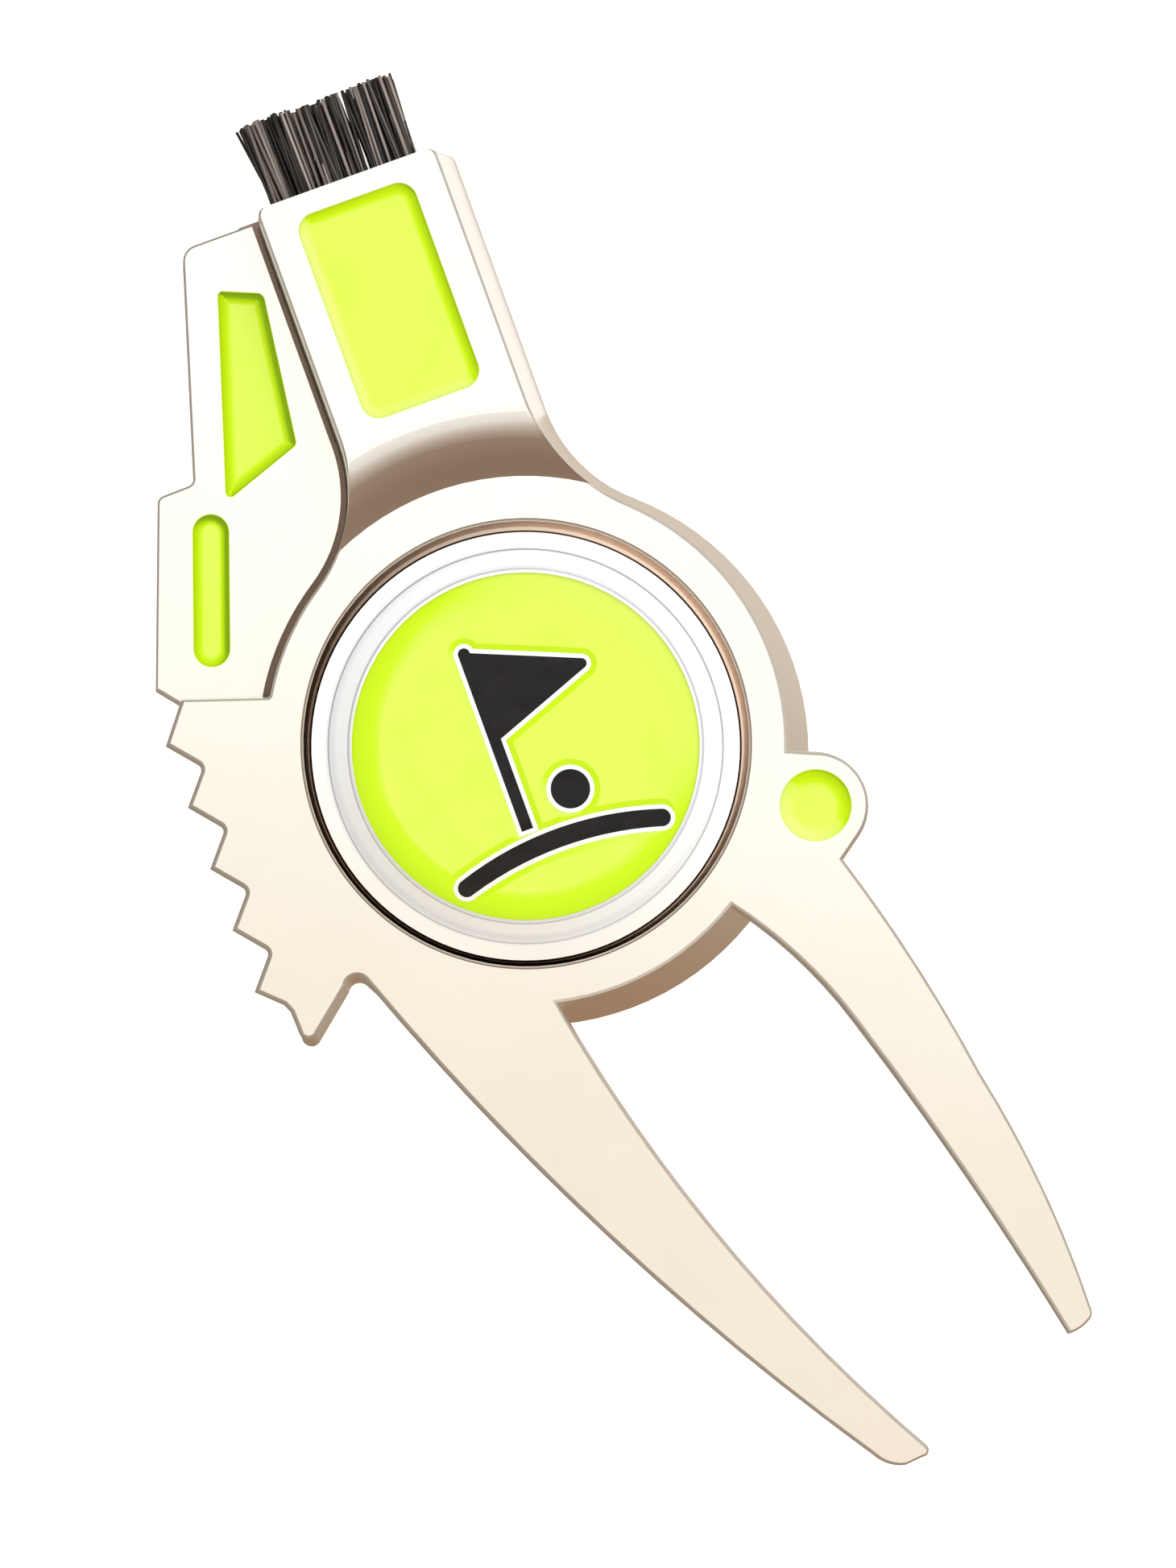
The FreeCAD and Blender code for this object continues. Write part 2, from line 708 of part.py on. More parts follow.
def marker_seat():
    """Slightly tapered round seat with a bevelled mouth."""
    seat = Part.makeCone(SEAT_FLOOR_R, SEAT_R, RING_TOP - SEAT_FLOOR, vec(0, 0, SEAT_FLOOR))
    mouth = Part.makeCone(SEAT_R, SEAT_R + SEAT_BEVEL, SEAT_BEVEL, vec(0, 0, RING_TOP - SEAT_BEVEL))
    above = disc(0, 0, SEAT_R, RING_TOP, NECK_TOP)
    magnet_pocket = disc(0, 0, MAGNET_R, SEAT_FLOOR - MAGNET_THICK, SEAT_FLOOR)
    return seat.fuse(mouth).fuse(above).fuse(magnet_pocket)


def fork_body():
    """One casting: ring, hollow neck, front plate, hook and prongs."""
    body = housing_block().fuse(neck_plateau()).fuse(arm_ledge()).cut(pivot_relief())
    body = body.fuse(front_plate()).fuse(hook_back())
    core = disc(0, 0, RING_CORE_R, 0, RING_CORE_TOP).cut(disc(0, 0, MAGNET_BOSS_R, 0, RING_CORE_TOP))
    cover_seat = prism(cover_wire(COVER_INSET - COVER_GAP), -PAST, COVER_THICK)
    body = body.cut(marker_seat())
    body = body.cut(core).cut(cover_seat).cut(chamber()).cut(leaf_channel())
    for x, y in SCREW_SPOTS:
        body = body.cut(disc(x, y, SCREW_R, 0, SCREW_TIP + CUT_PAST))
    body = body.cut(disc(PIVOT_X, PIVOT_Y, PIVOT_THREAD_R, 0, PIVOT_THREAD_TOP))
    body = body.cut(enamel_pocket(neck_enamel_wire(), NECK_TOP))
    body = body.cut(enamel_pocket(boss_enamel_wire(), RING_TOP))
    return body.removeSplitter()


def button_slot():
    half = 0.5 * BUTTON_WIDE + SLOT_GAP
    y_low = BUTTON_BACK - BRUSH_TRAVEL - 2 * SLOT_GAP
    y_high = BUTTON_BACK + BUTTON_LENGTH + 2 * SLOT_GAP
    wire = rounded_rectangle(BRUSH_MID_X - half, BRUSH_MID_X + half, y_low, y_high, SLOT_CORNER)
    return prism(wire, -PAST, COVER_THICK + PAST)


def back_cover():
    """Flat plate that closes the ring and the neck from the back."""
    plate = prism(cover_wire(COVER_INSET), 0, COVER_THICK)
    plate = plate.cut(disc(PIVOT_X, PIVOT_Y, PIVOT_RELIEF_R + COVER_GAP, -PAST, COVER_THICK + PAST))
    plate = plate.cut(button_slot())
    for x, y in SCREW_SPOTS:
        hole = screw_hole(x, y, SCREW_HEAD_LOW, SCREW_HEAD_R, SCREW_HEAD_DEPTH, SCREW_R, SCREW_TIP)
        plate = plate.cut(hole)
    return plate


def marker_magnet():
    return disc(0, 0, MAGNET_R - MAGNET_GAP, SEAT_FLOOR - MAGNET_THICK + MAGNET_GAP, SEAT_FLOOR - MAGNET_GAP)


def pennant_wire():
    """Flag on a pole, as one outline."""
    pole_left = -1.9
    pole_right = -1.2
    return outline((pole_left, -4.6), [
        ((pole_right, -4.6),),
        ((pole_right, 0.9),),
        ((4.75, 3.13),),
        ((5.0, 3.42), (4.8, 3.72)),
        ((pole_right, 6.2),),
        ((0.5 * (pole_left + pole_right), 6.6), (pole_left, 6.2)),
    ])


def ball_wire():
    return circle_wire(1.6, -3.2, 1.15)


def bank_wire():
    """Low arched bank of turf under the flag."""
    return outline((-6.2, -6.1), [
        ((0, -5.1), (6.2, -6.1)),
        ((6.5, -6.8), (5.8, -7.05)),
        ((0, -6.2), (-5.8, -7.05)),
        ((-6.5, -6.8), (-6.2, -6.1)),
    ])


def emblem_wires():
    return [pennant_wire(), ball_wire(), bank_wire()]


def at_rest(shape):
    """The marker lies a little off the seat's centre, within its clearance."""
    shape.translate(vec(MARKER_REST_X, MARKER_REST_Y, 0))
    return shape


def rim_band():
    """Shallow band between the marker's rim and the lip of its field."""
    low = MARKER_TOP - MARKER_STEP
    band = Part.makeCone(MARKER_RIM_R - MARKER_STEP, MARKER_RIM_R, MARKER_STEP, vec(0, 0, low))
    lip = Part.makeCone(MARKER_LIP_R + MARKER_STEP, MARKER_LIP_R, MARKER_STEP, vec(0, 0, low))
    return band.cut(lip)


def marker_blank():
    """Struck steel disc: raised rim, sunk field, and raised lines round the emblem."""
    shoulder = MARKER_TOP - MARKER_BEVEL
    blank = disc(0, 0, MARKER_R, SEAT_FLOOR + RUNNING_GAP, shoulder)
    blank = blank.fuse(Part.makeCone(MARKER_R, MARKER_R - MARKER_BEVEL, MARKER_BEVEL, vec(0, 0, shoulder)))
    blank = blank.cut(rim_band()).cut(disc(0, 0, MARKER_ENAMEL_R, MARKER_FIELD_Z, MARKER_TOP))
    line_top = MARKER_ENAMEL_Z + MARKER_LINE_RISE
    for wire in emblem_wires():
        raised_line = prism(grown(wire, MARKER_EDGE), MARKER_FIELD_Z - CUT_PAST, line_top)
        blank = blank.fuse(raised_line.cut(prism(wire, MARKER_FIELD_Z, line_top + PAST)))
    return at_rest(blank.removeSplitter())


def enamel_dish():
    """Disc of enamel that climbs in a hollow curve where it meets the rim."""
    inner = MARKER_ENAMEL_R - MARKER_CLIMB_WIDE
    radius = (MARKER_CLIMB_WIDE ** 2 + MARKER_CLIMB ** 2) / (2 * MARKER_CLIMB)
    half = 0.5 * math.asin(MARKER_CLIMB_WIDE / radius)
    foot = vec(inner, 0, MARKER_ENAMEL_Z)
    way = vec(inner + radius * math.sin(half), 0, MARKER_ENAMEL_Z + radius * (1 - math.cos(half)))
    lip = vec(MARKER_ENAMEL_R, 0, MARKER_ENAMEL_Z + MARKER_CLIMB)
    base = vec(MARKER_ENAMEL_R, 0, MARKER_FIELD_Z)
    profile = Part.Wire([
        Part.LineSegment(vec(0, 0, MARKER_ENAMEL_Z), foot).toShape(),
        Part.Arc(foot, way, lip).toShape(),
        Part.LineSegment(lip, base).toShape(),
        Part.LineSegment(base, vec(0, 0, MARKER_FIELD_Z)).toShape(),
        Part.LineSegment(vec(0, 0, MARKER_FIELD_Z), vec(0, 0, MARKER_ENAMEL_Z)).toShape(),
    ])
    return Part.Face(profile).revolve(vec(0, 0, 0), vec(0, 0, 1), 360)


def marker_green_enamel():
    """The dish, with a collar that climbs a little against each raised line."""
    sheet = enamel_dish()
    for wire in emblem_wires():
        collar = loft([
            (grown(wire, MARKER_EDGE + COLLAR_WIDE), MARKER_ENAMEL_Z),
            (grown(wire, MARKER_EDGE), MARKER_ENAMEL_Z + COLLAR_RISE),
        ])
        sheet = sheet.fuse(collar)
    for wire in emblem_wires():
        sheet = sheet.cut(prism(grown(wire, MARKER_EDGE), MARKER_FIELD_Z - PAST, MARKER_TOP + PAST))
    return at_rest(sheet.removeSplitter())


def marker_black_enamel():
    top = MARKER_ENAMEL_Z + RUNNING_GAP
    return at_rest(Part.makeCompound([prism(wire, MARKER_FIELD_Z, top) for wire in emblem_wires()]))


def tuft_places():
    for row in range(TUFT_ROWS):
        z = TUFT_MID_Z + (row - 0.5 * (TUFT_ROWS - 1)) * TUFT_ROW_PITCH
        for column in range(TUFT_COLUMNS):
            yield BRUSH_MID_X + (column - 0.5 * (TUFT_COLUMNS - 1)) * TUFT_PITCH, z


def staple(x, z):
    low = CARRIAGE_FRONT - TUFT_DEPTH
    return block(x - 0.5 * STAPLE_WIDE, x + 0.5 * STAPLE_WIDE, low, low + STAPLE_TALL,
                 z - 0.5 * STAPLE_THICK, z + 0.5 * STAPLE_THICK)


def tuft_staples():
    return Part.makeCompound([staple(x, z) for x, z in tuft_places()])


def bristle_tufts():
    """Each tuft is folded round its staple and fans out a little outside the carriage."""
    tufts = []
    for x, z in tuft_places():
        root = Part.makeCylinder(TUFT_R, TUFT_DEPTH, vec(x, CARRIAGE_FRONT - TUFT_DEPTH, z), vec(0, 1, 0))
        fan = Part.makeCone(TUFT_R, TUFT_R + TUFT_FAN, TUFT_TIP_Y - CARRIAGE_FRONT,
                            vec(x, CARRIAGE_FRONT, z), vec(0, 1, 0))
        tufts.append(root.fuse(fan).cut(staple(x, z)).removeSplitter())
    return Part.makeCompound(tufts)


def carriage_groove(y):
    """Shallow groove across the top of the carriage, where the flat spring drops in."""
    x = BRUSH_MID_X - CHAMBER_HALF
    side = Part.Face(Part.makePolygon([
        vec(x, y - GROOVE_HALF, CARRIAGE_TOP + OVER),
        vec(x, y, CARRIAGE_TOP - GROOVE_DEEP),
        vec(x, y + GROOVE_HALF, CARRIAGE_TOP + OVER),
        vec(x, y - GROOVE_HALF, CARRIAGE_TOP + OVER),
    ]))
    return side.extrude(vec(2 * CHAMBER_HALF, 0, 0))


def brush_carriage():
    """Moulded block that holds the tufts and slides in the neck."""
    half = CHAMBER_HALF - CARRIAGE_GAP
    wire = rounded_rectangle(BRUSH_MID_X - half, BRUSH_MID_X + half, CARRIAGE_BACK, CARRIAGE_FRONT,
                             CARRIAGE_CORNER)
    body = prism(wire, CARRIAGE_LOW, CARRIAGE_TOP)
    for x, z in tuft_places():
        foot = vec(x, CARRIAGE_FRONT - TUFT_DEPTH, z)
        hole = Part.makeCylinder(TUFT_R, TUFT_DEPTH + PAST, foot, vec(0, 1, 0))
        body = body.cut(hole).cut(staple(x, z))
    body = body.cut(carriage_groove(LEAF_BUMP_Y)).cut(carriage_groove(LEAF_BUMP_Y + BRUSH_TRAVEL))
    return body.cut(disc(BUTTON_SCREW_X, BUTTON_SCREW_Y, BUTTON_SCREW_R, 0, BUTTON_SCREW_TIP + CUT_PAST))


def brush_button():
    """Thumb pad in the cover's slot, with ribs across it and its screw in the middle."""
    half = 0.5 * BUTTON_WIDE
    wire = rounded_rectangle(BRUSH_MID_X - half, BRUSH_MID_X + half, BUTTON_BACK, BUTTON_BACK + BUTTON_LENGTH,
                             BUTTON_CORNER)
    pad = prism(wire, BUTTON_LOW, CARRIAGE_LOW)
    rib_half = half - RIB_END_INSET
    spacing = (BUTTON_LENGTH - 2 * RIB_SIDE_INSET) / (BUTTON_RIBS - 1)
    for count in range(BUTTON_RIBS):
        y = BUTTON_BACK + RIB_SIDE_INSET + count * spacing
        rib = block(BRUSH_MID_X - rib_half, BRUSH_MID_X + rib_half,
                    y - 0.5 * RIB_THICK, y + 0.5 * RIB_THICK, RIB_LOW, BUTTON_LOW)
        pad = pad.fuse(rib)
    pad = pad.cut(screw_hole(BUTTON_SCREW_X, BUTTON_SCREW_Y, BUTTON_SCREW_LOW, BUTTON_SCREW_HEAD_R,
                             BUTTON_SCREW_HEAD_DEPTH, BUTTON_SCREW_R, BUTTON_SCREW_TIP))
    return pad.removeSplitter()


def brush_button_screw():
    return screw_shape(BUTTON_SCREW_X, BUTTON_SCREW_Y, BUTTON_SCREW_LOW, BUTTON_SCREW_HEAD_R,
                       BUTTON_SCREW_HEAD_DEPTH, BUTTON_SCREW_R, BUTTON_SCREW_TIP, BUTTON_DRIVE_DEEP)


def arm_wire():
    """Arm outline. The inner side runs past the housing, which trims it."""
    tang_left = (PIVOT_X - TANG_R, PIVOT_Y)
    tang_right = (PIVOT_X + TANG_R, PIVOT_Y)
    head = (-8.95, 34.0)
    step_in = (-13.0, 20.9)
    step_out = (-15.25, 20.85)
    heel = (-19.15, 10.4)
    steps = rounding((-3.0, 34.0), head, step_in, 1.0)
    steps += rounding(head, step_in, step_out, 0.45)
    steps += rounding(step_in, step_out, heel, 0.5)
    steps += [(heel,), ((-18.05, 9.05),), (tang_left,)]
    steps += [((PIVOT_X, PIVOT_Y - TANG_R), tang_right), ((-11.0, 8.0),), ((-3.0, 13.0),)]
    return outline((-3.0, 34.0), steps)


def side_arm():
    """Folding arm: a flat lever with a step for the thumb and a round tang under the front plate."""
    arm = drafted(arm_wire(), ARM_LOW, ARM_TOP, ARM_FLARE)
    keep = TANG_R + 2 * ARM_FLARE
    trimmer = housing_block(ARM_CLEARANCE).cut(disc(PIVOT_X, PIVOT_Y, keep, -PAST, RING_TOP + PAST))
    arm = arm.cut(trimmer)
    arm = max(arm.Solids, key=lambda solid: solid.Volume)
    arm = arm.cut(disc(PIVOT_X, PIVOT_Y, BUSH_R, 0, RING_TOP))
    arm = arm.cut(enamel_pocket(long_enamel_wire(), ARM_TOP))
    return arm.cut(enamel_pocket(slot_enamel_wire(), ARM_TOP))


def arm_pivot_bush():
    bush = disc(PIVOT_X, PIVOT_Y, BUSH_R, ARM_LOW, ARM_TOP)
    return bush.cut(disc(PIVOT_X, PIVOT_Y, PIVOT_SHOULDER_R + RUNNING_GAP, 0, RING_TOP))


def arm_pivot_screw():
    """Shoulder screw driven from the back into the front plate."""
    head = disc(PIVOT_X, PIVOT_Y, PIVOT_HEAD_R, PIVOT_HEAD_LOW, PIVOT_HEAD_TOP)
    shoulder = disc(PIVOT_X, PIVOT_Y, PIVOT_SHOULDER_R, PIVOT_HEAD_TOP, PLATE_UNDERSIDE)
    thread = disc(PIVOT_X, PIVOT_Y, PIVOT_THREAD_R, PLATE_UNDERSIDE, PIVOT_THREAD_TOP)
    half = 0.5 * PIVOT_SLOT_WIDE
    slot = block(PIVOT_X - PIVOT_HEAD_R, PIVOT_X + PIVOT_HEAD_R, PIVOT_Y - half, PIVOT_Y + half,
                 PIVOT_HEAD_LOW - PAST, PIVOT_HEAD_LOW + PIVOT_SLOT_DEEP)
    return head.fuse(shoulder).fuse(thread).removeSplitter().cut(slot)


def arm_spring_washer():
    ring = disc(PIVOT_X, PIVOT_Y, PIVOT_HEAD_R, PIVOT_HEAD_TOP, PIVOT_HEAD_TOP + WASHER_THICK)
    return ring.cut(disc(PIVOT_X, PIVOT_Y, PIVOT_SHOULDER_R + RUNNING_GAP, 0, RING_TOP))


NODES = {
    "fork_body": fork_body,
    "back_cover": back_cover,
    "cover_screws": cover_screws,
    "marker_magnet": marker_magnet,
    "neck_enamel": lambda: enamel_tray(neck_enamel_wire, NECK_TOP, NECK_ENAMEL_CLIMB),
    "boss_enamel": lambda: enamel_tray(boss_enamel_wire, RING_TOP, BOSS_CLIMB),
    "brush_detent_spring": brush_detent_spring,
    "arm_pivot_screw": arm_pivot_screw,
    "arm_spring_washer": arm_spring_washer,
    "marker_blank": marker_blank,
    "marker_green_enamel": marker_green_enamel,
    "marker_black_enamel": marker_black_enamel,
    "brush_carriage": brush_carriage,
    "bristle_tufts": bristle_tufts,
    "tuft_staples": tuft_staples,
    "brush_button": brush_button,
    "brush_button_screw": brush_button_screw,
    "side_arm": side_arm,
    "arm_long_enamel": lambda: enamel_tray(long_enamel_wire, ARM_TOP, WINDOW_CLIMB),
    "arm_slot_enamel": lambda: enamel_tray(slot_enamel_wire, ARM_TOP, SLOT_CLIMB),
    "arm_pivot_bush": arm_pivot_bush,
}

for name, make in NODES.items():
    shape = make()
    solids = len(shape.Solids)
    print(f"{name:22s} solids {solids:2d} valid {shape.isValid()} volume {shape.Volume:9.2f}")
    shape.exportStep(f"parts/{name}.step")
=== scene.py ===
import math
import random

import bmesh
import bpy
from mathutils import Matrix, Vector


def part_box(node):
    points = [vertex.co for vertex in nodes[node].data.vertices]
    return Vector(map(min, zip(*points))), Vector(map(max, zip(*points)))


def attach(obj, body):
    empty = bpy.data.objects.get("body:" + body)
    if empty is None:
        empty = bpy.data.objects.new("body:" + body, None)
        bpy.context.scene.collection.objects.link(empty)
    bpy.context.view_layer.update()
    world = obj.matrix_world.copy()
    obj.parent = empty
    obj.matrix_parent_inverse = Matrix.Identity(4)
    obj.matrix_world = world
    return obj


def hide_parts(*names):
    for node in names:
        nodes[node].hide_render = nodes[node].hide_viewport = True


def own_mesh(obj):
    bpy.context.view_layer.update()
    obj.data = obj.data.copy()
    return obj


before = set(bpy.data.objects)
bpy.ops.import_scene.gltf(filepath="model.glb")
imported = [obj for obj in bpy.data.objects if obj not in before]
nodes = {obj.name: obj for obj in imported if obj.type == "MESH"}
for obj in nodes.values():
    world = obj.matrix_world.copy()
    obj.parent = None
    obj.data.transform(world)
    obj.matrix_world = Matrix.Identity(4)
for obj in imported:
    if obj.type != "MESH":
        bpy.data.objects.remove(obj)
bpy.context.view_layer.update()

MM = 0.001

# The photograph's view: the tool lies on its back, turned so that image-up is 20 degrees off its neck.
IMAGE_UP = Vector((0.342, 0.940, 0.0))
IMAGE_RIGHT = Vector((0.940, -0.342, 0.0))

# Where colours and painted shade change on the tool: distances from the seat's axis, and heights above the
# flat back.
SEAT_WALL_R = 13.02 * MM
SEAT_BEVEL_R = 13.1 * MM
SEAT_PLAIN_R = 11.9 * MM
SEAT_SHADE_FULL_R = 12.5 * MM
SEAT_FLOOR_Z = 0.5 * MM
SEAT_MOUTH_Z = 6.5 * MM
HOLLOW_LOW_Z = 6.6 * MM
HOLLOW_HIGH_Z = 7.98 * MM
LEDGE_LOW_Z = 0.2 * MM
LEDGE_HIGH_Z = 1.1 * MM
LEDGE_LEFT_X = -30.0 * MM
LEDGE_RIGHT_X = -4.0 * MM
LEDGE_NEAR_Y = 5.9 * MM
LEDGE_FAR_Y = 40.0 * MM
RIM_BORDER_R = 10.25 * MM
RIM_INNER_R = 10.2 * MM
RIM_OUTER_R = 11.33 * MM
RIM_STEP_R = 11.38 * MM
MARKER_EDGE_R = 12.3 * MM
MARKER_PAST_R = 13.0 * MM


# ---------------------------------------------------------------- material helpers

class Shader:
    """A material's node tree, with short calls for the nodes that are used here."""

    def __init__(self, name):
        self.material = bpy.data.materials.new(name)
        self.material.use_nodes = True
        self.tree = self.material.node_tree
        self.bsdf = self.tree.nodes["Principled BSDF"]
        self.coordinates = self.tree.nodes.new("ShaderNodeTexCoord")
        self.place = self.coordinates.outputs["Object"]

    def node(self, kind, **settings):
        made = self.tree.nodes.new(kind)
        for key, value in settings.items():
            setattr(made, key, value)
        return made

    def link(self, source, target):
        self.tree.links.new(source, target)

    def set(self, **values):
        for key, value in values.items():
            self.bsdf.inputs[key.replace("_", " ")].default_value = value

    def scaled(self, x, y, z):
        """Object coordinates stretched along the axes, in features per metre."""
        mapping = self.node("ShaderNodeMapping")
        mapping.inputs["Scale"].default_value = (x, y, z)
        self.link(self.place, mapping.inputs["Vector"])
        return mapping.outputs["Vector"]

    def noise(self, scale, detail=2.0, roughness=0.5, vector=None):
        made = self.node("ShaderNodeTexNoise")
        made.inputs["Scale"].default_value = scale
        made.inputs["Detail"].default_value = detail
        made.inputs["Roughness"].default_value = roughness
        self.link(vector or self.place, made.inputs["Vector"])
        return made.outputs["Fac"]

    def ramp(self, source, stops):
        made = self.node("ShaderNodeValToRGB")
        points = made.color_ramp.elements
        while len(points) < len(stops):
            points.new(0.5)
        for point, (position, color) in zip(points, stops):
            point.position = position
            point.color = (*color, 1.0)
        self.link(source, made.inputs["Fac"])
        return made.outputs["Color"]

    def spread(self, source, low, high, from_low=0.0, from_high=1.0):
        made = self.node("ShaderNodeMapRange")
        made.inputs["From Min"].default_value = from_low
        made.inputs["From Max"].default_value = from_high
        made.inputs["To Min"].default_value = low
        made.inputs["To Max"].default_value = high
        self.link(source, made.inputs["Value"])
        return made.outputs["Result"]

    def bump(self, height, depth, strength=1.0, over=None):
        made = self.node("ShaderNodeBump")
        made.inputs["Distance"].default_value = depth
        made.inputs["Strength"].default_value = strength
        self.link(height, made.inputs["Height"])
        if over:
            self.link(over, made.inputs["Normal"])
        return made.outputs["Normal"]

    def math(self, operation, first, second):
        made = self.node("ShaderNodeMath", operation=operation)
        for socket, value in zip(made.inputs, (first, second)):
            if isinstance(value, float):
                socket.default_value = value
            else:
                self.link(value, socket)
        return made.outputs[0]

    def blend(self, share, first, second):
        """Colour that goes from a socket to a plain colour or to another socket."""
        made = self.node("ShaderNodeMix", data_type="RGBA")
        self.link(share, made.inputs[0])
        self.link(first, made.inputs[6])
        if isinstance(second, tuple):
            made.inputs[7].default_value = (*second, 1.0)
        else:
            self.link(second, made.inputs[7])
        return made.outputs[2]

    def along(self, direction):
        """How far a point lies along a direction from the object's origin, in metres."""
        made = self.node("ShaderNodeVectorMath", operation="DOT_PRODUCT")
        self.link(self.place, made.inputs[0])
        made.inputs[1].default_value = direction
        return made.outputs["Value"]

    def tilt(self, direction):
        """How far the surface faces a direction, from -1 to 1."""
        made = self.node("ShaderNodeVectorMath", operation="DOT_PRODUCT")
        self.link(self.coordinates.outputs["Normal"], made.inputs[0])
        made.inputs[1].default_value = direction
        return made.outputs["Value"]

    def from_axis(self):
        """Distance from the Z axis, in metres."""
        x = self.along((1, 0, 0))
        y = self.along((0, 1, 0))
        squared = self.math("ADD", self.math("MULTIPLY", x, x), self.math("MULTIPLY", y, y))
        return self.math("SQRT", squared, 0.0)

    def inside(self, value, low, high):
        """1 between two limits, 0 elsewhere."""
        above = self.math("GREATER_THAN", value, low)
        return self.math("MULTIPLY", above, self.math("LESS_THAN", value, high))

    def ridge(self, value, middle, half):
        """1 at a value, falling evenly to 0 on both sides of it."""
        away = self.math("ABSOLUTE", self.math("SUBTRACT", value, middle), 0.0)
        return self.spread(away, 1.0, 0.0, 0.0, half)


# ---------------------------------------------------------------- materials

def satin_nickel():
    """Pearl nickel over a zinc casting: warm, satin, with a fine bead-blasted grain. Painted shade makes it
    brown in the hollow between the ring and the neck. The marker's seat has a painted coppery-brown shade on
    its wall, darkest low on the left, a painted dark bevel, and painted shadow lies on the ledge behind the
    arm."""
    s = Shader("satin_nickel")
    s.set(Metallic=1.0)
    cloud = s.noise(90.0, 3.0, 0.6)
    plated = s.ramp(cloud, [(0.3, (0.885, 0.860, 0.812)), (0.7, (0.915, 0.894, 0.850))])
    height = s.along((0, 0, 1))
    # Painted shade and light on the seat's wall: dark towards the lower left, light towards the upper right.
    side = s.spread(s.along(0.6 * IMAGE_UP + 0.8 * IMAGE_RIGHT), 0.0, 1.0, -6.0 * MM, 11.0 * MM)
    seat_shade_copper = s.ramp(side, [(0.0, (0.22, 0.14, 0.10)), (1.0, (0.96, 0.76, 0.62))])
    reach = s.from_axis()
    # Painted shade: dark browns where shade and dark reflections fall on the seat's bevel, the hollow and the
    # ledge beside the arm.
    bevel_painted_shade = (0.30, 0.20, 0.15)
    hollow_painted_shade = (0.323, 0.254, 0.204)
    ledge_painted_shadow = (0.22, 0.155, 0.12)
    # Painted shade fills the seat's wall from its plain radius outwards.
    seat_shade_share = s.spread(reach, 0.0, 1.0, SEAT_PLAIN_R, SEAT_SHADE_FULL_R)
    seat = s.math("MULTIPLY", seat_shade_share, s.inside(height, SEAT_FLOOR_Z, SEAT_MOUTH_Z))
    seat = s.math("MULTIPLY", seat, s.inside(reach, 0.0, SEAT_WALL_R))
    # Painted shadow on the flat ledge beside and behind the arm.
    beside_arm = s.math("MULTIPLY", s.inside(s.along((1, 0, 0)), LEDGE_LEFT_X, LEDGE_RIGHT_X),
                        s.inside(s.along((0, 1, 0)), LEDGE_NEAR_Y, LEDGE_FAR_Y))
    upward = s.math("GREATER_THAN", s.tilt((0, 0, 1)), 0.5)
    on_top = s.math("MULTIPLY", s.inside(height, LEDGE_LOW_Z, LEDGE_HIGH_Z), upward)
    ledge = s.math("MULTIPLY", on_top, beside_arm)
    seat_bevel = s.inside(reach, SEAT_WALL_R, SEAT_BEVEL_R)
    seated = s.blend(seat_bevel, s.blend(seat, plated, seat_shade_copper), bevel_painted_shade)
    # Painted shade: the hollow's slope that faces the near end is painted brown, standing in for a dark
    # reflection.
    hollow = s.math("MULTIPLY", s.spread(s.tilt((0, -1, 0)), 0.0, 1.0, 0.02, 0.30),
                    s.inside(height, HOLLOW_LOW_Z, HOLLOW_HIGH_Z))
    toned = s.blend(hollow, seated, hollow_painted_shade)
    s.link(s.blend(ledge, toned, ledge_painted_shadow), s.bsdf.inputs["Base Color"])
    grain = s.noise(14000.0, 2.0, 0.6)
    s.link(s.spread(s.noise(600.0, 3.0), 0.26, 0.34), s.bsdf.inputs["Roughness"])
    soft = s.bump(s.noise(1500.0, 2.0), 0.000004, 0.5)
    s.link(s.bump(grain, 0.0000035, 0.6, soft), s.bsdf.inputs["Normal"])
    return s.material


def satin_steel():
    """Sheet with a fine straight grain across the tool."""
    s = Shader("satin_steel")
    s.set(Metallic=1.0)
    grain = s.noise(1.0, 3.0, 0.7, s.scaled(900.0, 26000.0, 900.0))
    s.link(s.ramp(grain, [(0.3, (0.70, 0.69, 0.67)), (0.7, (0.82, 0.81, 0.79))]), s.bsdf.inputs["Base Color"])
    s.link(s.spread(grain, 0.26, 0.42), s.bsdf.inputs["Roughness"])
    s.link(s.bump(grain, 0.000004, 0.7), s.bsdf.inputs["Normal"])
    return s.material


def turned_steel(name, color, rough):
    """Small turned or rolled steel pieces, with faint machining marks."""
    s = Shader(name)
    s.set(Metallic=1.0)
    marks = s.noise(1.0, 2.0, 0.6, s.scaled(3000.0, 3000.0, 16000.0))
    dark = tuple(0.82 * channel for channel in color)
    s.link(s.ramp(marks, [(0.3, dark), (0.7, color)]), s.bsdf.inputs["Base Color"])
    s.link(s.spread(marks, rough - 0.05, rough + 0.08), s.bsdf.inputs["Roughness"])
    s.link(s.bump(marks, 0.000003, 0.5), s.bsdf.inputs["Normal"])
    return s.material


